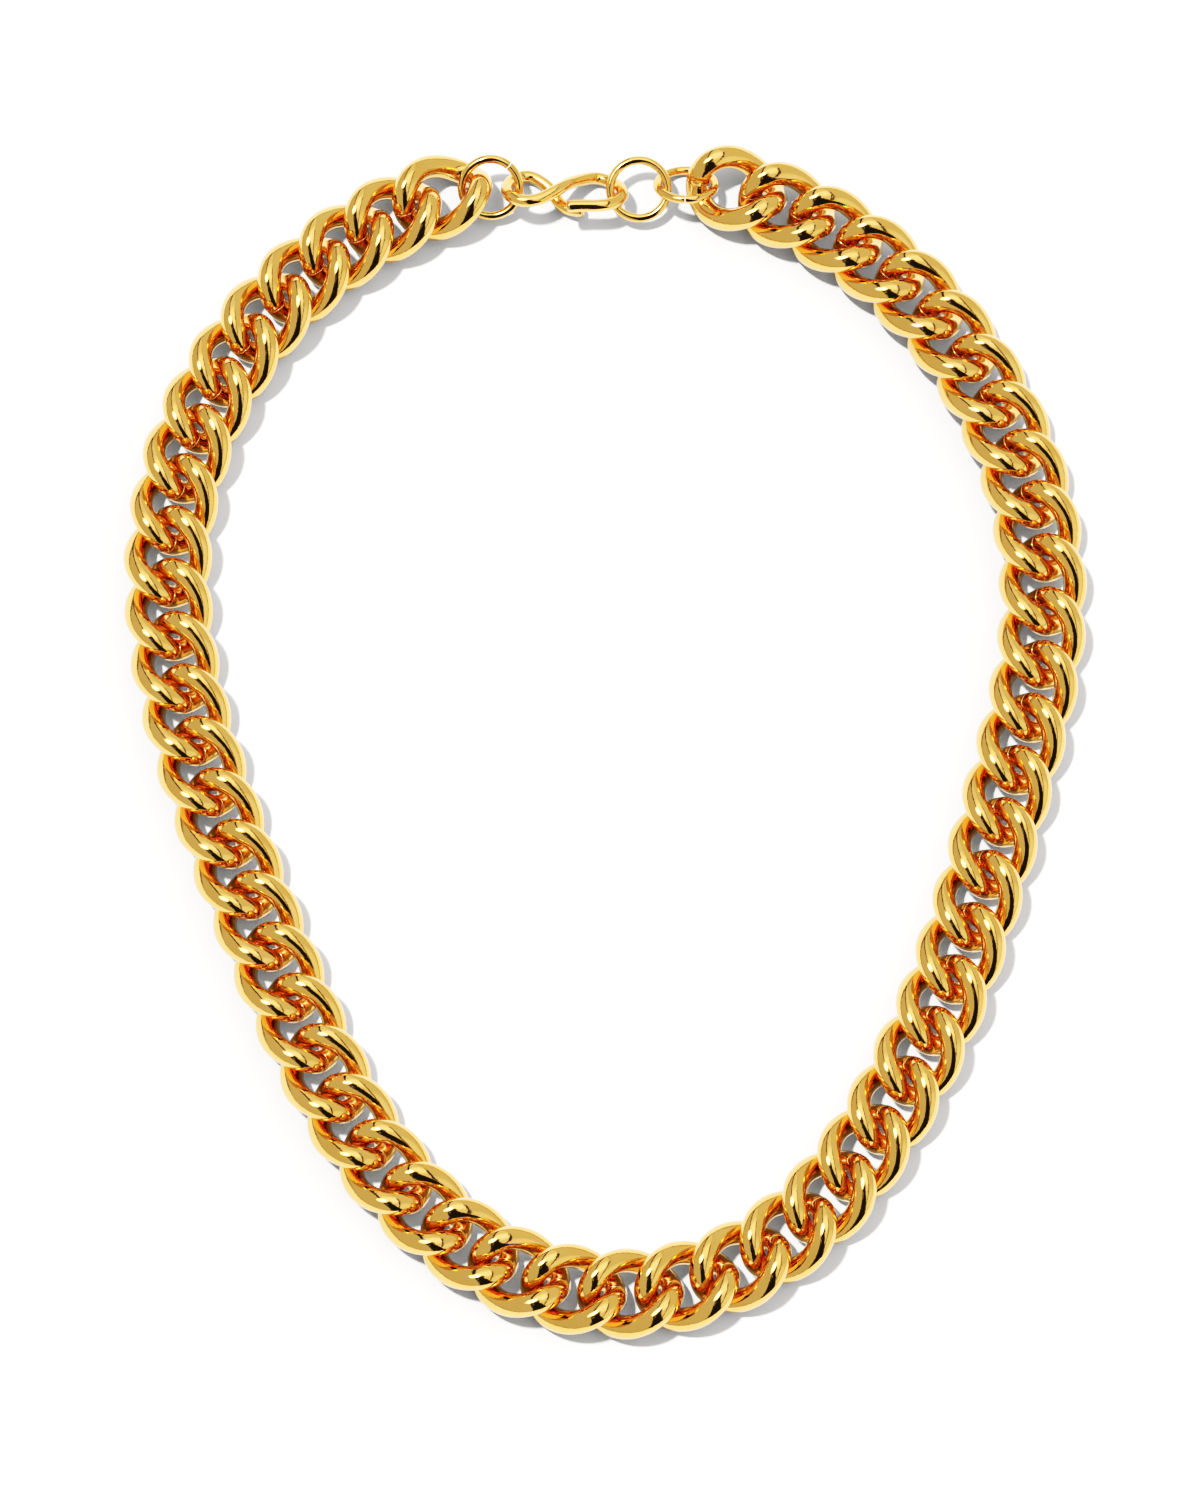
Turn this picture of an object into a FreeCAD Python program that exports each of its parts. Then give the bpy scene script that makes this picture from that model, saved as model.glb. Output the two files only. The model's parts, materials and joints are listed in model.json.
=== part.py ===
import FreeCAD, Part
import math
import os

# Curb chain necklace with a hook clasp, fastened and lying flat. Millimetres.
# Frame: origin under the middle of the outline, on the surface that the chain lies on.
# +Z is up, +Y points to the clasp, +X is the wearer's left when the clasp is behind the neck.
# Every piece is bent from round wire. The wire's centre line is a chain of arcs that run into
# each other without a kink, so each piece is made only of torus stretches and flat cut ends.

# --- curb links -----------------------------------------------------------------------------
LINK_COUNT = 53
LINK_LENGTH = 15.05           # over the wire, before the twist
LINK_WIDTH = 12.7             # over the wire, before the twist
LINK_WIRE = 3.4               # wire diameter
LINK_TWIST = 53.0             # degrees that each end is turned about the long axis
LINK_SHOULDER = 0.10          # how much squarer than an ellipse the loop is
LINK_BUTT_GAP = 0.06          # the cut wire ends almost touch
LINK_SPANS = 10               # stretches of the loop, two arcs each

# --- how the links lie ----------------------------------------------------------------------
SPREAD = 0.01                 # links lie this much further apart than the mean at the front
FRONT_HINGE = 30              # the hinge, counted from the right ring, where they lie furthest apart

# The line through the hinges between links, clockwise seen from above, from the right jump
# ring round the front of the neck to the left jump ring.
ROUTE = (
    (15.4, 83.6), (32.3, 76.8), (46.2, 65.1), (56.2, 49.8), (61.8, 32.5), (62.2, 14.3),
    (58.1, -3.5), (53.1, -21.1), (47.1, -38.4), (38.9, -54.7), (27.7, -69.1), (11.9, -77.9),
    (-6.2, -78.3), (-22.3, -70.0), (-34.4, -56.4), (-43.0, -40.2), (-50.0, -23.3),
    (-56.4, -6.2), (-61.2, 11.4), (-62.4, 29.6), (-58.4, 47.4), (-49.2, 63.1),
    (-35.8, 75.5), (-19.8, 83.1),
)

# --- rings ----------------------------------------------------------------------------------
RING_WIRE = 1.25
RING_OUTSIDE = 9.6
RING_BUTT_GAP = 0.12
RING_SPANS = 4                # stretches of the wire, two arcs each
# name: centre from the middle of the chain, tilt about X, clock angle of the cut (None: soldered)
RINGS = {
    "jump_ring_left": ((-16.5, 82.85, 0.15), 28.0, 50.0),
    "catch_ring": ((5.0, 82.65, 0.0), 16.5, None),
    "jump_ring_right": ((11.87, 83.4, -0.27), -41.0, -93.0),
}

# --- hook clasp -----------------------------------------------------------------------------
CLASP_WIRE = 1.8
# The wire's centre line: tail, eye round the left jump ring, crossing over the tail, hook round
# the catch ring, and back along the tongue to the tip, which lies above the tail.
CLASP_LINE = (
    (-3.0, 79.9, -1.75), (-4.6, 80.2, -2.10), (-5.9, 80.8, -2.35), (-7.0, 82.0, -2.50),
    (-7.8, 83.4, -2.60), (-9.2, 84.7, -2.65), (-11.0, 85.5, -2.65), (-13.0, 84.9, -2.05),
    (-14.1, 82.9, -0.35), (-13.4, 81.0, 1.40), (-11.7, 80.2, 2.05), (-9.7, 80.4, 2.05),
    (-8.1, 81.2, 1.80), (-6.5, 82.3, 1.35), (-4.8, 83.7, -0.05), (-3.0, 84.7, -1.60),
    (-1.0, 85.2, -2.55), (0.8, 84.6, -2.25), (2.2, 83.2, -0.95), (2.6, 81.8, 0.30),
    (1.7, 80.3, 1.40), (0.1, 79.6, 2.05), (-1.9, 79.4, 2.20), (-3.9, 79.4, 2.20),
    (-5.5, 79.3, 2.20),
)

UP = FreeCAD.Vector(0, 0, 1)


def arc_between(start, direction, end):
    """The arc that leaves start along direction and arrives at end."""
    chord = end - start
    along = FreeCAD.Vector(chord).normalize()
    aside = direction - along * direction.dot(along)
    half_turn = math.atan2(aside.Length, direction.dot(along)) / 2
    middle = (start + end) * 0.5 + aside.normalize() * (chord.Length / 2 * math.tan(half_turn))
    return Part.Arc(start, middle, end).toShape()


def two_arcs(start, leaving, end, arriving):
    """Two arcs that meet in line, from start along leaving to end along arriving."""
    gap = end - start
    both = leaving + arriving
    spread = 2 * (1 - leaving.dot(arriving))
    reach = (math.sqrt(gap.dot(both) ** 2 + spread * gap.dot(gap)) - gap.dot(both)) / spread
    meeting = (start + leaving * reach + end - arriving * reach) * 0.5
    return [arc_between(start, leaving, meeting), arc_between(end, arriving * -1, meeting)]


def round_wire(points, directions, diameter):
    """Solid round wire whose centre line passes through points in the given directions."""
    edges = []
    for i in range(len(points) - 1):
        edges += two_arcs(points[i], directions[i], points[i + 1], directions[i + 1])
    section = Part.makeCircle(diameter / 2, points[0], directions[0])
    return Part.Wire(edges).makePipeShell([Part.Wire([section])], True, False)


def smooth_curve(points):
    """A smooth curve through the points."""
    curve = Part.BSplineCurve()
    curve.interpolate([FreeCAD.Vector(*p) for p in points])
    return curve


def link_point(turn):
    """Centre line of a link lying along X: a full oval, twisted about X so that one end leans
    one way and the other end the opposite way. Turn is in radians, 0 at the +X end."""
    cos, sin = math.cos(turn), math.sin(turn)
    half_length = (LINK_LENGTH - LINK_WIRE) / 2
    half_width = (LINK_WIDTH - LINK_WIRE) / 2
    across = half_width * sin * (1 + LINK_SHOULDER * cos * cos)
    lean = -math.radians(LINK_TWIST) * cos
    along = half_length * cos * (1 + LINK_SHOULDER * sin * sin)
    return FreeCAD.Vector(along, across * math.cos(lean), across * math.sin(lean))


def link_direction(turn):
    """Which way the link's centre line runs at link_point(turn)."""
    step = 0.00001
    return (link_point(turn + step) - link_point(turn - step)).normalize()


def make_link():
    """One link about its own middle, cut at the middle of its -X end."""
    half_gap = LINK_BUTT_GAP / (LINK_WIDTH - LINK_WIRE)
    first = math.pi + half_gap
    last = 3 * math.pi - half_gap
    turns = [first + (last - first) * i / LINK_SPANS for i in range(LINK_SPANS + 1)]
    points = [link_point(t) for t in turns]
    directions = [link_direction(t) for t in turns]
    return round_wire(points, directions, LINK_WIRE)


def make_ring(cut_angle):
    """One ring about its own middle, in the XY plane."""
    radius = (RING_OUTSIDE - RING_WIRE) / 2
    if cut_angle is None:
        return Part.makeTorus(radius, RING_WIRE / 2)
    half_gap = RING_BUTT_GAP / 2 / radius
    first = math.radians(cut_angle) + half_gap
    last = math.radians(cut_angle) + 2 * math.pi - half_gap
    turns = [first + (last - first) * i / RING_SPANS for i in range(RING_SPANS + 1)]
    points = [FreeCAD.Vector(math.cos(t), math.sin(t), 0) * radius for t in turns]
    directions = [FreeCAD.Vector(-math.sin(t), math.cos(t), 0) for t in turns]
    return round_wire(points, directions, RING_WIRE)


def make_clasp():
    """The hook clasp, where it lies."""
    curve = smooth_curve(CLASP_LINE)
    points = [FreeCAD.Vector(*p) for p in CLASP_LINE]
    directions = [FreeCAD.Vector(*curve.tangent(curve.parameter(p))[0]) for p in points]
    return round_wire(points, directions, CLASP_WIRE)


def hinge_points():
    """The points where neighbouring links hang in each other, from the right ring clockwise."""
    route = smooth_curve([(x, y, 0) for x, y in ROUTE])
    length = route.length()
    step = 2 * math.pi / LINK_COUNT
    points = []
    for k in range(LINK_COUNT + 1):
        wave = math.sin(step * (k - FRONT_HINGE)) + math.sin(step * FRONT_HINGE)
        share = k / LINK_COUNT + SPREAD / (2 * math.pi) * wave
        points.append(route.value(route.parameterAtDistance(length * share)))
    return points


def link_placement(start, end):
    """Puts a link midway between its two hinge points, with its +X end clockwise."""
    along = (end - start).normalize()
    outward = UP.cross(along)
    turn = FreeCAD.Rotation(along, outward, UP, "XYZ")
    return FreeCAD.Placement((start + end) * 0.5, turn)


def make_necklace():
    """Every piece by its name, about the middle of the chain's thickness."""
    pieces = {}
    hinges = hinge_points()
    link = make_link()
    for k in range(LINK_COUNT):
        piece = link.copy()
        piece.Placement = link_placement(hinges[k], hinges[k + 1])
        pieces["link_%02d" % (k + 1)] = piece
    for name, (centre, tilt, cut_angle) in RINGS.items():
        piece = make_ring(cut_angle)
        turn = FreeCAD.Rotation(FreeCAD.Vector(1, 0, 0), tilt)
        piece.Placement = FreeCAD.Placement(FreeCAD.Vector(*centre), turn)
        pieces[name] = piece
    pieces["hook_clasp"] = make_clasp()
    return pieces


def shift_to_origin(pieces):
    """The move that stands the necklace on Z = 0 with the middle of its outline on the origin."""
    box = Part.makeCompound(list(pieces.values())).optimalBoundingBox(False)
    return FreeCAD.Vector(-box.Center.x, -box.Center.y, -box.ZMin)


def main():
    os.makedirs("parts", exist_ok=True)
    pieces = make_necklace()
    shift = shift_to_origin(pieces)
    for name, piece in pieces.items():
        piece.translate(shift)
        piece.exportStep("parts/%s.step" % name)
        if not piece.isValid() or len(piece.Solids) != 1:
            raise ValueError("%s isn't one sound solid" % name)
    print("%d pieces, moved by %s" % (len(pieces), shift))


main()
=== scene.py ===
import json
import math
import bpy
import numpy as np
from mathutils import Matrix, Vector


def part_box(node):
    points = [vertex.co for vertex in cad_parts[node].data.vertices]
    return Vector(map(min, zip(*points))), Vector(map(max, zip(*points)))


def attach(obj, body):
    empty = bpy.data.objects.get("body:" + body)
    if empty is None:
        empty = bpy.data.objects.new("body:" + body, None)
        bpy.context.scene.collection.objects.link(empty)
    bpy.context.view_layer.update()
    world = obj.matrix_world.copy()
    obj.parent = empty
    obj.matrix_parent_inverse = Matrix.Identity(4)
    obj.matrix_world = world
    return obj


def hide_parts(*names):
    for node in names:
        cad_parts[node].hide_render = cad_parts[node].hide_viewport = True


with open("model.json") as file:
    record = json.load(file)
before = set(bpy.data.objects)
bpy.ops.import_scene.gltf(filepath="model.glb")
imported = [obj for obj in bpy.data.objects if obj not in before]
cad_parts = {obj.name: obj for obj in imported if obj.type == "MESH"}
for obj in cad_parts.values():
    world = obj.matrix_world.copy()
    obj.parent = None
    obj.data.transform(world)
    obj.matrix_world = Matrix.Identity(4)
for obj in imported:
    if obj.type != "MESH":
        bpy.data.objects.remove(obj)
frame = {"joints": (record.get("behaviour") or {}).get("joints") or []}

# Curb chain necklace with a hook clasp, fastened and lying flat on white paper. Metres.
# The camera looks down from nearly a metre away, leaning towards the front of the chain.
# Every piece is a round wire about its own centre line, in the place that the frame gives it.

MM = 0.001

# --- curb links -----------------------------------------------------------------------------
LINK_COUNT = 53
LINK_LENGTH = 15.05 * MM       # over the wire, before the twist
LINK_WIDTH = 12.7 * MM         # over the wire, before the twist
LINK_WIRE = 3.4 * MM
LINK_TWIST = math.radians(53)  # each end is turned this far about the long axis
LINK_SHOULDER = 0.10           # how much squarer than an ellipse the loop is
LINK_BUTT_GAP = 0.06 * MM      # the cut wire ends almost touch

# --- rings and clasp ------------------------------------------------------------------------
RING_WIRE = 1.25 * MM
RING_OUTSIDE = 9.6 * MM
RING_BUTT_GAP = 0.12 * MM
# name: tilt about X in degrees, clock angle of the cut in degrees (None: soldered)
RINGS = {
    "jump_ring_left": (28.0, 50.0),
    "catch_ring": (16.5, None),
    "jump_ring_right": (-41.0, -93.0),
}
CLASP_WIRE = 1.8 * MM
# Centre line of the clasp in millimetres: tail, eye, crossing over the tail, hook and tongue.
CLASP_LINE = (
    (-3.0, 79.9, -1.75), (-4.6, 80.2, -2.10), (-5.9, 80.8, -2.35), (-7.0, 82.0, -2.50),
    (-7.8, 83.4, -2.60), (-9.2, 84.7, -2.65), (-11.0, 85.5, -2.65), (-13.0, 84.9, -2.05),
    (-14.1, 82.9, -0.35), (-13.4, 81.0, 1.40), (-11.7, 80.2, 2.05), (-9.7, 80.4, 2.05),
    (-8.1, 81.2, 1.80), (-6.5, 82.3, 1.35), (-4.8, 83.7, -0.05), (-3.0, 84.7, -1.60),
    (-1.0, 85.2, -2.55), (0.8, 84.6, -2.25), (2.2, 83.2, -0.95), (2.6, 81.8, 0.30),
    (1.7, 80.3, 1.40), (0.1, 79.6, 2.05), (-1.9, 79.4, 2.20), (-3.9, 79.4, 2.20),
    (-5.5, 79.3, 2.20),
)

# --- mesh -----------------------------------------------------------------------------------
AROUND = 40                    # faces round a wire
STEP = 0.28 * MM               # length of a face along a wire
LINK_POINTS = 1200             # points of each centre line, before they are spaced evenly
RING_POINTS = 800
CLASP_POINTS = 1600
FINE = 8                       # evenly spaced points to each face along the wire
EDGE_ROWS = 8                  # rows of points that round a cut end's edge
LINK_EDGE = 0.09 * MM          # rounding of the cut ends' edges
RING_EDGE = 0.08 * MM
CLASP_EDGE = 0.5 * MM
WAVES = 0.010 * MM             # how far hand polishing leaves the surface from a true round

# --- view and light -------------------------------------------------------------------------
VIEW_CENTRE = (-0.72 * MM, -2.89 * MM, 3.81 * MM)
VIEW_DISTANCE = 927.6 * MM
VIEW_LEAN = math.radians(14)   # the camera stands this far from upright, towards the front
VIEW_HEIGHT = 212.8 * MM       # what the picture takes in, top to bottom, at that distance
SENSOR = 36.0                  # the camera's sensor width, in millimetres
# Directions in the studio are in degrees: off straight up, then round from +X.
KEY_PLACE = (18.3, 156)
KEY_STRENGTH = 5.5
KEY_WIDTH = math.radians(4)
GLINT_PLACE = (22, 163)        # middle of the key's bright dish, as the gold mirrors it
DARKEST = 0.015                # light from the darkest part of the studio
BACKDROP = 2.0                 # what the camera sees beyond the paper: plain white
GOLD_BOUNCES = 12              # how often light may go from gold to gold, deep in the crossings
PAPER_HALF = 6.0               # half of the floor's side
PAPER_LOW = 0.02 * MM          # the floor lies this far under the lowest wire

rng = np.random.default_rng(53)


# --- wires ----------------------------------------------------------------------------------
def unit(rows):
    return rows / np.linalg.norm(rows, axis=-1, keepdims=True)


def between(spots, along, rows):
    """Rows given at distances along a wire, read off at the spots between them."""
    return np.stack([np.interp(spots, along, rows[:, i]) for i in range(3)], 1)


def evenly(line, step):
    """The same line with its points a step apart, and how far along it each one is."""
    gaps = np.linalg.norm(np.diff(line, axis=0), axis=1)
    along = np.concatenate([[0], np.cumsum(gaps)])
    count = max(8, round(along[-1] / step))
    spots = np.linspace(0, along[-1], count + 1)
    return between(spots, along, line), spots


def sides(directions, first):
    """A side vector at each point that doesn't spin about the wire."""
    found = [first]
    for way in directions:
        side = found[-1] - way * np.dot(found[-1], way)
        found.append(side / np.linalg.norm(side))
    return np.array(found[1:])


def hand_waves(spots, turns):
    """Smooth, shallow unevenness over a wire's surface, different each time."""
    wave = np.zeros((len(spots), len(turns)))
    for order in (1, 2, 3):
        pitch = rng.uniform(1.6, 5.0) * MM
        phase = rng.uniform(0, 2 * math.pi, 2)
        along = np.sin(spots[:, None] / pitch + phase[0])
        wave += along * np.cos(order * turns[None, :] + phase[1])
    return wave * WAVES / 2


def wire_mesh(line, diameter, edge, closed=False):
    """A round wire about a line of close points. Its ends are cut square, with rounded edges."""
    if closed:
        points, spots = evenly(line, STEP)
        points, spots = points[:-1], spots[:-1]
        inset = np.zeros(len(points))
        ways = unit(np.roll(points, -1, 0) - np.roll(points, 1, 0))
    else:
        dense, dense_spots = evenly(line, STEP / FINE)
        points, spots, inset = resample(dense, dense_spots, edge)
        dense_ways = unit(np.gradient(dense, axis=0))
        ways = unit(between(spots, dense_spots, dense_ways))
    side = sides(ways, np.array((0.0, 0.0, 1.0)))
    other = np.cross(ways, side)
    turns = np.linspace(0, 2 * math.pi, AROUND, endpoint=False)
    radius = diameter / 2 - inset[:, None] + (hand_waves(spots, turns) if not closed else 0)
    skin = (points[:, None, :]
            + (radius * np.cos(turns))[:, :, None] * side[:, None, :]
            + (radius * np.sin(turns))[:, :, None] * other[:, None, :])
    rows = len(points)
    faces = []
    for i in range(rows if closed else rows - 1):
        j = (i + 1) % rows
        for m in range(AROUND):
            n = (m + 1) % AROUND
            faces.append((i * AROUND + m, i * AROUND + n, j * AROUND + n, j * AROUND + m))
    if not closed:
        faces.append(tuple(range(AROUND))[::-1])
        faces.append(tuple((rows - 1) * AROUND + m for m in range(AROUND)))
    return skin.reshape(-1, 3), faces


def resample(dense, dense_spots, edge):
    """Points a step apart, crowded where the edges of the two ends are rounded, with how far
    along the wire each is and how far the surface there is drawn in by the rounding."""
    length = dense_spots[-1]
    turns = np.linspace(0, math.pi / 2, EDGE_ROWS)
    near = edge * (1 - np.cos(turns))
    count = round((length - 2 * edge) / STEP)
    middle = np.linspace(edge, length - edge, count + 1)[1:-1]
    spots = np.concatenate([near, middle, length - near[::-1]])
    rounding = edge * (1 - np.sin(turns))
    inset = np.concatenate([rounding, middle * 0, rounding[::-1]])
    return between(spots, dense_spots, dense), spots, inset


def smooth_line(points, count):
    """A smooth line through the points, straight at its ends, bending as a thin wire would."""
    points = np.array(points, float)
    gaps = np.linalg.norm(np.diff(points, axis=0), axis=1)
    knots = np.concatenate([[0], np.cumsum(gaps)])
    last = len(points) - 1
    system, wanted = np.zeros((last + 1, last + 1)), np.zeros((last + 1, 3))
    system[0, 0] = system[last, last] = 1
    for i in range(1, last):
        before, after = gaps[i - 1], gaps[i]
        system[i, i - 1:i + 2] = before, 2 * (before + after), after
        wanted[i] = 6 * ((points[i + 1] - points[i]) / after - (points[i] - points[i - 1]) / before)
    bend = np.linalg.solve(system, wanted)
    spots = np.linspace(0, knots[-1], count)
    span = np.clip(np.searchsorted(knots, spots, side="right") - 1, 0, last - 1)
    gap = gaps[span][:, None]
    a = (knots[span + 1] - spots)[:, None] / gap
    b = 1 - a
    curve = ((a ** 3 - a) * bend[span] + (b ** 3 - b) * bend[span + 1]) * gap ** 2 / 6
    return a * points[span] + b * points[span + 1] + curve


# --- pieces ---------------------------------------------------------------------------------
def show(name, skin, faces, material):
    """Makes the piece that stands for a CAD node and moves with it."""
    mesh = bpy.data.meshes.new(name + "_gold")
    mesh.from_pydata(skin.tolist(), [], faces)
    mesh.update()
    mesh.shade_smooth()
    mesh.materials.append(material)
    piece = bpy.data.objects.new(name + "_gold", mesh)
    bpy.context.scene.collection.objects.link(piece)
    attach(piece, name)
    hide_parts(name)


def hinge_points():
    """Where neighbouring links hang in each other, clockwise from the right jump ring."""
    places = {joint["child"]: np.array(joint["pos_m"]) for joint in frame["joints"]}
    links = ["link_%02d" % k for k in range(1, LINK_COUNT + 1)]
    hung = [name for name in links if name in places]
    return [places[name] for name in ["jump_ring_right", *hung, "jump_ring_left"]]


def link_line():
    """Centre line of a link lying along X, cut at the middle of its -X end."""
    half_length = (LINK_LENGTH - LINK_WIRE) / 2
    half_width = (LINK_WIDTH - LINK_WIRE) / 2
    half_gap = LINK_BUTT_GAP / 2 / half_width
    turn = np.linspace(math.pi + half_gap, 3 * math.pi - half_gap, LINK_POINTS)
    across = half_width * np.sin(turn) * (1 + LINK_SHOULDER * np.cos(turn) ** 2)
    along = half_length * np.cos(turn) * (1 + LINK_SHOULDER * np.sin(turn) ** 2)
    lean = -LINK_TWIST * np.cos(turn)
    return np.stack([along, across * np.cos(lean), across * np.sin(lean)], 1)


def make_links(material):
    """Each link lies midway between its two hinge points, with its +X end clockwise."""
    hinges = hinge_points()
    line = link_line()
    for k in range(LINK_COUNT):
        start, end = hinges[k], hinges[k + 1]
        along = unit(end - start)
        outward = np.cross((0, 0, 1), along)
        turn = np.stack([along, outward, (0, 0, 1)])
        skin, faces = wire_mesh(line, LINK_WIRE, LINK_EDGE)
        name = "link_%02d" % (k + 1)
        show(name, skin @ turn + (start + end) / 2, faces, material)


def box_middle(name):
    low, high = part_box(name)
    return np.array((low + high) / 2)


def make_rings(material):
    radius = (RING_OUTSIDE - RING_WIRE) / 2
    for name, (tilt, cut) in RINGS.items():
        half_gap = RING_BUTT_GAP / 2 / radius if cut is not None else 0
        start = math.radians(cut or 0)
        turn = np.linspace(start + half_gap, start + 2 * math.pi - half_gap, RING_POINTS)
        line = radius * np.stack([np.cos(turn), np.sin(turn), 0 * turn], 1)
        skin, faces = wire_mesh(line, RING_WIRE, RING_EDGE, closed=cut is None)
        lean = np.array(Matrix.Rotation(math.radians(tilt), 3, "X"))
        show(name, skin @ lean.T + box_middle(name), faces, material)


def make_clasp(material):
    line = smooth_line(CLASP_LINE, CLASP_POINTS) * MM
    skin, faces = wire_mesh(line, CLASP_WIRE, CLASP_EDGE)
    middle = (skin.min(0) + skin.max(0)) / 2
    show("hook_clasp", skin + box_middle("hook_clasp") - middle, faces, material)


# --- materials ------------------------------------------------------------------------------
def gold(name, colour, roughness):
    """Polished gold plate under a thin lacquer: uneven in tint and polish, with a faint
    orange peel and a fine grain."""
    material = bpy.data.materials.new(name)
    material.use_nodes = True
    tree = material.node_tree
    nodes, links = tree.nodes, tree.links
    shader = nodes["Principled BSDF"]
    shader.inputs["Metallic"].default_value = 1.0
    shader.inputs["Coat Weight"].default_value = 0.30
    shader.inputs["Coat Roughness"].default_value = 0.10
    place = nodes.new("ShaderNodeTexCoord")

    def noise(scale, detail=2.0):
        """Noise with about this many spots to a metre."""
        node = nodes.new("ShaderNodeTexNoise")
        node.inputs["Scale"].default_value = scale
        node.inputs["Detail"].default_value = detail
        links.new(place.outputs["Object"], node.inputs["Vector"])
        return node.outputs["Fac"]

    tint = nodes.new("ShaderNodeValToRGB")
    tint.color_ramp.elements[0].position = 0.3
    tint.color_ramp.elements[0].color = (*[c * s for c, s in zip(colour, (0.97, 0.93, 0.80))], 1)
    tint.color_ramp.elements[1].position = 0.7
    tint.color_ramp.elements[1].color = (*colour, 1)
    links.new(noise(260.0), tint.inputs["Fac"])
    links.new(tint.outputs["Color"], shader.inputs["Base Color"])

    haze = nodes.new("ShaderNodeMapRange")
    haze.inputs["To Min"].default_value = roughness * 0.6
    haze.inputs["To Max"].default_value = roughness * 1.5
    links.new(noise(900.0, 3.0), haze.inputs["Value"])
    links.new(haze.outputs["Result"], shader.inputs["Roughness"])

    peel = nodes.new("ShaderNodeBump")
    peel.inputs["Strength"].default_value = 0.5
    peel.inputs["Distance"].default_value = 0.024 * MM
    links.new(noise(800.0), peel.inputs["Height"])
    grain = nodes.new("ShaderNodeBump")
    grain.inputs["Strength"].default_value = 0.5
    grain.inputs["Distance"].default_value = 0.020 * MM
    links.new(noise(3000.0), grain.inputs["Height"])
    links.new(peel.outputs["Normal"], grain.inputs["Normal"])
    links.new(grain.outputs["Normal"], shader.inputs["Normal"])
    return material


# --- studio ---------------------------------------------------------------------------------
def direction(polar, azimuth):
    """Unit vector from the angle off straight up and the angle from +X, in degrees."""
    polar, azimuth = math.radians(polar), math.radians(azimuth)
    level = math.sin(polar)
    return Vector((level * math.cos(azimuth), level * math.sin(azimuth), math.cos(polar)))


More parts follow.
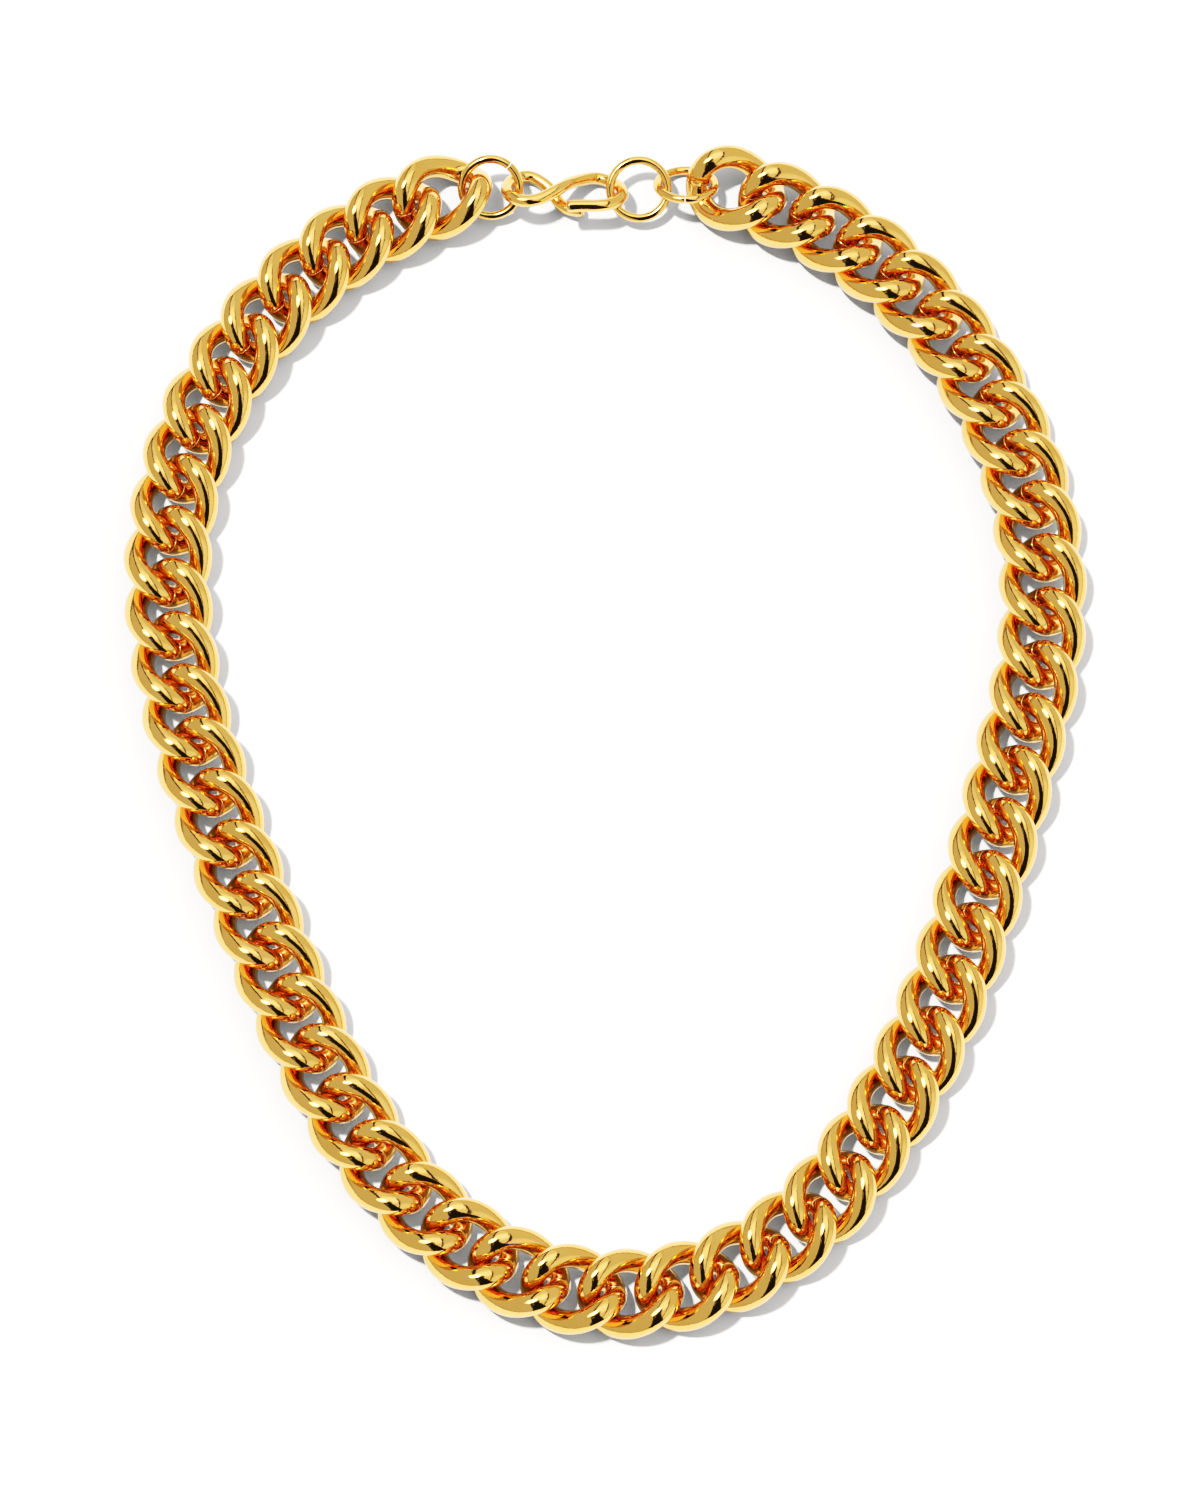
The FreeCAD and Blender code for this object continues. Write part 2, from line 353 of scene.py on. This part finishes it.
def make_world():
    """Three panels overhead that meet in dark seams, the middle one the brightest, a dark
    camera stand in front, and a dim horizon."""
    world = bpy.data.worlds.new("studio")
    bpy.context.scene.world = world
    world.use_nodes = True
    tree = world.node_tree
    nodes, links = tree.nodes, tree.links
    place = nodes.new("ShaderNodeTexCoord")

    def towards(vector):
        """How far a direction lies towards a vector, from -1 to 1."""
        node = nodes.new("ShaderNodeVectorMath")
        node.operation = "DOT_PRODUCT"
        node.inputs[1].default_value = vector
        links.new(place.outputs["Generated"], node.inputs[0])
        return node.outputs["Value"]

    def ramp(value, low, high, out_low, out_high):
        """A smooth change from one level to another as a value goes from low to high."""
        node = nodes.new("ShaderNodeMapRange")
        node.interpolation_type = "SMOOTHSTEP"
        node.inputs["From Min"].default_value = low
        node.inputs["From Max"].default_value = high
        node.inputs["To Min"].default_value = out_low
        node.inputs["To Max"].default_value = out_high
        links.new(value, node.inputs["Value"])
        return node.outputs["Result"]

    def both(operation, a, b):
        """A sum, product and so on of two values, each a number or a node's output."""
        node = nodes.new("ShaderNodeMath")
        node.operation = operation
        for socket, source in zip(node.inputs, (a, b)):
            if isinstance(source, (int, float)):
                socket.default_value = source
            else:
                links.new(source, socket)
        return node.outputs["Value"]

    def spot(polar, azimuth, outer, inner, edge_level, middle_level):
        """One level inside a round patch of sky and another outside it, angles in degrees."""
        near, far = math.cos(math.radians(inner)), math.cos(math.radians(outer))
        return ramp(towards(direction(polar, azimuth)), far, near, edge_level, middle_level)

    # The panels: left and right measure how far a direction is from each seam's great circle.
    left = towards(direction(83, 105).cross(direction(31, 141)).normalized())
    right = towards(direction(36, 34).cross(direction(46, -41)).normalized())
    inside = both("MULTIPLY", ramp(left, -0.01, 0.03, 0.0, 1.0), ramp(right, -0.03, 0.02, 1.0, 0.0))
    middle = both("ADD", 0.34, spot(18, 75, 38, 4, 0.0, 0.75))
    level = both("ADD", 0.62, both("MULTIPLY", inside, middle))
    level = both("ADD", level, ramp(right, 0.0, 0.10, 0.0, 0.14))
    level = both("ADD", level, spot(70, -32, 34, 8, 0.0, 0.35))
    left_edge = ramp(both("ABSOLUTE", left, 0), 0.035, 0.070, 0.02, 1.0)
    right_edge = ramp(both("ABSOLUTE", right, 0), 0.030, 0.065, 0.04, 1.0)
    right_edge = both("MAXIMUM", right_edge, spot(36, -5, 44, 36, 1.0, 0.0))
    level = both("MULTIPLY", level, both("MULTIPLY", left_edge, right_edge))

    # The stand: a dark strip from overhead down to the front, wider as it comes down.
    upright = towards(direction(12.6, -108).cross(direction(83, -72)).normalized())
    forward = towards(direction(90, -70))
    width = ramp(forward, 0.1, 1.0, 0.13, 0.30)
    beside = both("SUBTRACT", both("ABSOLUTE", upright, 0), width)
    stand = ramp(beside, -0.03, 0.04, 0.0, 1.0)
    stand = both("MAXIMUM", stand, ramp(forward, 0.05, 0.16, 1.0, 0.0))
    level = both("MULTIPLY", level, stand)
    level = both("MULTIPLY", level, spot(10, -130, 18, 9, 1.0, 0.05))

    # The horizon: half as bright, with a darker arc behind the chain on the left.
    height = towards(Vector((0, 0, 1)))
    level = both("MULTIPLY", level, ramp(height, -0.02, 0.16, 0.50, 1.0))
    shade = both("MAXIMUM", ramp(height, 0.02, 0.12, 0.06, 1.0), spot(90, 127, 32, 22, 1.0, 0.0))
    level = both("MULTIPLY", level, shade)
    level = both("MAXIMUM", level, DARKEST)

    ray = nodes.new("ShaderNodeLightPath")

    def seen_by(kind, special, otherwise):
        """One level for a kind of ray and another for the rest."""
        extra = both("SUBTRACT", special, otherwise)
        return both("ADD", otherwise, both("MULTIPLY", ray.outputs[kind], extra))

    # The paper gets most of its fill light from the right, and little from the front.
    from_right = ramp(towards(Vector((1, 0, 0))), 0.0, 0.7, 0.65, 2.9)
    from_front = ramp(towards(Vector((0, -1, 0))), 0.0, 0.6, 1.0, 0.1)
    on_paper = both("MULTIPLY", level, both("MULTIPLY", from_right, from_front))
    on_gold = both("ADD", both("MULTIPLY", level, 1.3), spot(*GLINT_PLACE, 17, 12, 0.0, 5.0))
    level = seen_by("Is Diffuse Ray", on_paper, on_gold)
    level = seen_by("Is Camera Ray", BACKDROP, level)
    background = nodes["Background"]
    background.inputs["Color"].default_value = (1, 1, 1, 1)
    links.new(level, background.inputs["Strength"])


def make_key():
    """One small light from the upper left, whose shadows have nearly sharp edges."""
    lamp = bpy.data.lights.new("key", "SUN")
    lamp.energy = KEY_STRENGTH
    lamp.angle = KEY_WIDTH
    key = bpy.data.objects.new("key", lamp)
    bpy.context.scene.collection.objects.link(key)
    key.rotation_euler = direction(*KEY_PLACE).to_track_quat("Z", "Y").to_euler()


def make_floor():
    """White paper, a little warm, bright enough to come out white in the open."""
    mesh = bpy.data.meshes.new("floor")
    sides_of_paper = ((-1, -1), (1, -1), (1, 1), (-1, 1))
    corners = [(x * PAPER_HALF, y * PAPER_HALF, -PAPER_LOW) for x, y in sides_of_paper]
    mesh.from_pydata(corners, [], [(0, 1, 2, 3)])
    floor = bpy.data.objects.new("floor", mesh)
    bpy.context.scene.collection.objects.link(floor)
    paper = bpy.data.materials.new("white_paper")
    paper.use_nodes = True
    shader = paper.node_tree.nodes["Principled BSDF"]
    shader.inputs["Base Color"].default_value = (0.83, 0.815, 0.795, 1)
    shader.inputs["Roughness"].default_value = 0.9
    shader.inputs["Specular IOR Level"].default_value = 0.1
    shader.inputs["Emission Color"].default_value = (1, 0.97, 0.93, 1)
    shader.inputs["Emission Strength"].default_value = 0.17
    mesh.materials.append(paper)


def make_camera():
    """Aimed at the chain's middle from VIEW_DISTANCE away, with VIEW_HEIGHT in the picture."""
    lens = bpy.data.cameras.new("camera")
    lens.sensor_width = SENSOR
    lens.lens = SENSOR * VIEW_DISTANCE / VIEW_HEIGHT
    camera = bpy.data.objects.new("camera", lens)
    bpy.context.scene.collection.objects.link(camera)
    back = Vector((0, -math.sin(VIEW_LEAN), math.cos(VIEW_LEAN)))
    camera.location = Vector(VIEW_CENTRE) + back * VIEW_DISTANCE
    camera.rotation_euler = (VIEW_LEAN, 0, 0)
    bpy.context.scene.camera = camera


def set_tones():
    """Plain colours, with bright parts eased into white as film does."""
    settings = bpy.context.scene.view_settings
    settings.view_transform = "Standard"
    settings.look = "None"
    settings.use_curve_mapping = True
    mapping = settings.curve_mapping
    mapping.white_level = (1.9, 1.9, 1.9)
    curve = mapping.curves[3]
    toe = ((0.055, 0.072), (0.101, 0.165), (0.184, 0.35))
    shoulder = ((0.316, 0.565), (0.526, 0.78), (0.72, 0.885))
    for x, y in toe + shoulder:
        curve.points.new(x, y)
    mapping.update()


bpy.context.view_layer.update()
make_camera()
link_gold = gold("link_gold", (0.83, 0.475, 0.135), 0.06)
clasp_gold = gold("clasp_gold", (0.84, 0.485, 0.142), 0.08)
make_links(link_gold)
make_rings(clasp_gold)
make_clasp(clasp_gold)
make_floor()
make_world()
make_key()
set_tones()
bpy.context.scene.cycles.caustics_reflective = False
bpy.context.scene.cycles.glossy_bounces = GOLD_BOUNCES
